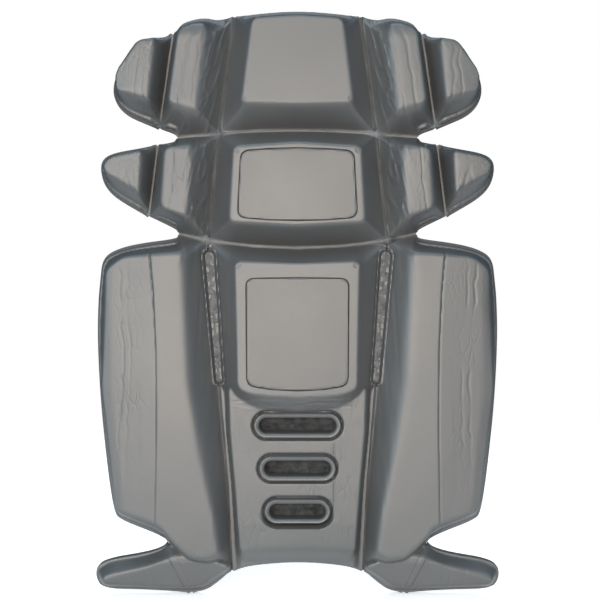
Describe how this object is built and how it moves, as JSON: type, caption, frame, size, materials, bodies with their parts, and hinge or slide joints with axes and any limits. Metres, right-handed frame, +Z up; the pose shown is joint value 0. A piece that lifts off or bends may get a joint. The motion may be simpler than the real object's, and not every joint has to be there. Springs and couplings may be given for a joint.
{
  "type": "back protector",
  "caption": "Segmented foam back protector insert with raised blocks, side wings, vent slots and flexible hinge grooves",
  "frame": {"origin": "middle of the lower spine's flat body-side face, 130 mm above the tail tips", "axes": "+Z up the spine, +Y from the pad towards the wearer, so the blocks face -Y, and +X to the right of someone who looks at the blocks"},
  "size_m": [0.2894, 0.024, 0.419],
  "materials": {
    "moulded_foam": "satin moulded foam skin, dark grey",
    "backing_foam": "matt foam sheet, darker grey",
    "inlay_foam": "satin foam with a fine grain",
    "web_foam": "compressed foam, dark"
  },
  "bodies": {
    "lower_spine": {"lower_inlay_panel": "inlay_foam", "lower_spine_backing": "backing_foam", "lower_spine_front": "moulded_foam"},
    "middle_spine": {"middle_inlay_panel": "inlay_foam", "middle_spine_backing": "backing_foam", "middle_spine_front": "moulded_foam", "middle_spine_web": "web_foam"},
    "upper_spine": {"upper_spine_backing": "backing_foam", "upper_spine_front": "moulded_foam", "upper_spine_web": "web_foam"},
    "wing_left": {"wing_backing_left": "backing_foam", "wing_front_left": "moulded_foam", "wing_web_left": "web_foam"},
    "middle_rib_left": {"middle_rib_backing_left": "backing_foam", "middle_rib_front_left": "moulded_foam", "middle_rib_web_left": "web_foam"},
    "upper_rib_left": {"upper_rib_backing_left": "backing_foam", "upper_rib_front_left": "moulded_foam", "upper_rib_web_left": "web_foam"},
    "middle_lobe_left": {"middle_lobe_backing_left": "backing_foam", "middle_lobe_front_left": "moulded_foam", "middle_lobe_web_left": "web_foam"},
    "upper_lobe_left": {"upper_lobe_backing_left": "backing_foam", "upper_lobe_front_left": "moulded_foam", "upper_lobe_web_left": "web_foam"},
    "tail_left": {"tail_backing_left": "backing_foam", "tail_front_left": "moulded_foam", "tail_web_left": "web_foam"},
    "wing_right": {"wing_backing_right": "backing_foam", "wing_front_right": "moulded_foam", "wing_web_right": "web_foam"},
    "middle_rib_right": {"middle_rib_backing_right": "backing_foam", "middle_rib_front_right": "moulded_foam", "middle_rib_web_right": "web_foam"},
    "upper_rib_right": {"upper_rib_backing_right": "backing_foam", "upper_rib_front_right": "moulded_foam", "upper_rib_web_right": "web_foam"},
    "middle_lobe_right": {"middle_lobe_backing_right": "backing_foam", "middle_lobe_front_right": "moulded_foam", "middle_lobe_web_right": "web_foam"},
    "upper_lobe_right": {"upper_lobe_backing_right": "backing_foam", "upper_lobe_front_right": "moulded_foam", "upper_lobe_web_right": "web_foam"},
    "tail_right": {"tail_backing_right": "backing_foam", "tail_front_right": "moulded_foam", "tail_web_right": "web_foam"}
  },
  "joints": [
    {"name": "middle_spine_bend", "type": "hinge", "parent": "lower_spine", "child": "middle_spine", "pos_m": [0, -0.0015, 0.122], "axis": [1, 0, 0], "range_deg": [-30, 8], "stiffness_Nm_per_rad": 0.9, "deforming": ["middle_spine_web"]},
    {"name": "upper_spine_bend", "type": "hinge", "parent": "middle_spine", "child": "upper_spine", "pos_m": [0, -0.0015, 0.2015], "axis": [1, 0, 0], "range_deg": [-30, 8], "stiffness_Nm_per_rad": 0.7, "deforming": ["upper_spine_web"]},
    {"name": "wing_fold_left", "type": "hinge", "parent": "lower_spine", "child": "wing_left", "pos_m": [-0.05575, -0.0015, 0.005], "axis": [0.0733, 0, -0.9973], "range_deg": [-8, 35], "stiffness_Nm_per_rad": 1.2, "deforming": ["wing_web_left"]},
    {"name": "middle_rib_fold_left", "type": "hinge", "parent": "middle_spine", "child": "middle_rib_left", "pos_m": [-0.0605, -0.0015, 0.16225], "axis": [-0.104, 0, -0.9946], "range_deg": [-8, 35], "stiffness_Nm_per_rad": 0.4, "deforming": ["middle_rib_web_left"]},
    {"name": "upper_rib_fold_left", "type": "hinge", "parent": "upper_spine", "child": "upper_rib_left", "pos_m": [-0.05075, -0.0015, 0.24275], "axis": [-0.1349, 0, -0.9909], "range_deg": [-8, 35], "stiffness_Nm_per_rad": 0.4, "deforming": ["upper_rib_web_left"]},
    {"name": "middle_lobe_fold_left", "type": "hinge", "parent": "middle_rib_left", "child": "middle_lobe_left", "pos_m": [-0.10375, -0.0015, 0.167], "axis": [-0.124, 0, -0.9923], "range_deg": [-8, 30], "stiffness_Nm_per_rad": 0.25, "deforming": ["middle_lobe_web_left"]},
    {"name": "upper_lobe_fold_left", "type": "hinge", "parent": "upper_rib_left", "child": "upper_lobe_left", "pos_m": [-0.0945, -0.0015, 0.23875], "axis": [-0.1445, 0, -0.9895], "range_deg": [-8, 30], "stiffness_Nm_per_rad": 0.3, "deforming": ["upper_lobe_web_left"]},
    {"name": "tail_flex_left", "type": "hinge", "parent": "wing_left", "child": "tail_left", "pos_m": [-0.0845, -0.0015, -0.11175], "axis": [0.4319, 0, -0.9019], "range_deg": [-8, 35], "stiffness_Nm_per_rad": 0.15, "deforming": ["tail_web_left"]},
    {"name": "wing_fold_right", "type": "hinge", "parent": "lower_spine", "child": "wing_right", "pos_m": [0.05575, -0.0015, 0.005], "axis": [0.0733, 0, 0.9973], "range_deg": [-8, 35], "stiffness_Nm_per_rad": 1.2, "deforming": ["wing_web_right"]},
    {"name": "middle_rib_fold_right", "type": "hinge", "parent": "middle_spine", "child": "middle_rib_right", "pos_m": [0.0605, -0.0015, 0.16225], "axis": [-0.104, 0, 0.9946], "range_deg": [-8, 35], "stiffness_Nm_per_rad": 0.4, "deforming": ["middle_rib_web_right"]},
    {"name": "upper_rib_fold_right", "type": "hinge", "parent": "upper_spine", "child": "upper_rib_right", "pos_m": [0.05075, -0.0015, 0.24275], "axis": [-0.1349, 0, 0.9909], "range_deg": [-8, 35], "stiffness_Nm_per_rad": 0.4, "deforming": ["upper_rib_web_right"]},
    {"name": "middle_lobe_fold_right", "type": "hinge", "parent": "middle_rib_right", "child": "middle_lobe_right", "pos_m": [0.10375, -0.0015, 0.167], "axis": [-0.124, 0, 0.9923], "range_deg": [-8, 30], "stiffness_Nm_per_rad": 0.25, "deforming": ["middle_lobe_web_right"]},
    {"name": "upper_lobe_fold_right", "type": "hinge", "parent": "upper_rib_right", "child": "upper_lobe_right", "pos_m": [0.0945, -0.0015, 0.23875], "axis": [-0.1445, 0, 0.9895], "range_deg": [-8, 30], "stiffness_Nm_per_rad": 0.3, "deforming": ["upper_lobe_web_right"]},
    {"name": "tail_flex_right", "type": "hinge", "parent": "wing_right", "child": "tail_right", "pos_m": [0.0845, -0.0015, -0.11175], "axis": [0.4319, 0, 0.9019], "range_deg": [-8, 35], "stiffness_Nm_per_rad": 0.15, "deforming": ["tail_web_right"]}
  ],
  "couplings": [
    {"joint": "middle_rib_fold_left", "follows": "wing_fold_left", "ratio": 1},
    {"joint": "upper_rib_fold_left", "follows": "wing_fold_left", "ratio": 1},
    {"joint": "middle_rib_fold_right", "follows": "wing_fold_right", "ratio": 1},
    {"joint": "upper_rib_fold_right", "follows": "wing_fold_right", "ratio": 1}
  ]
}
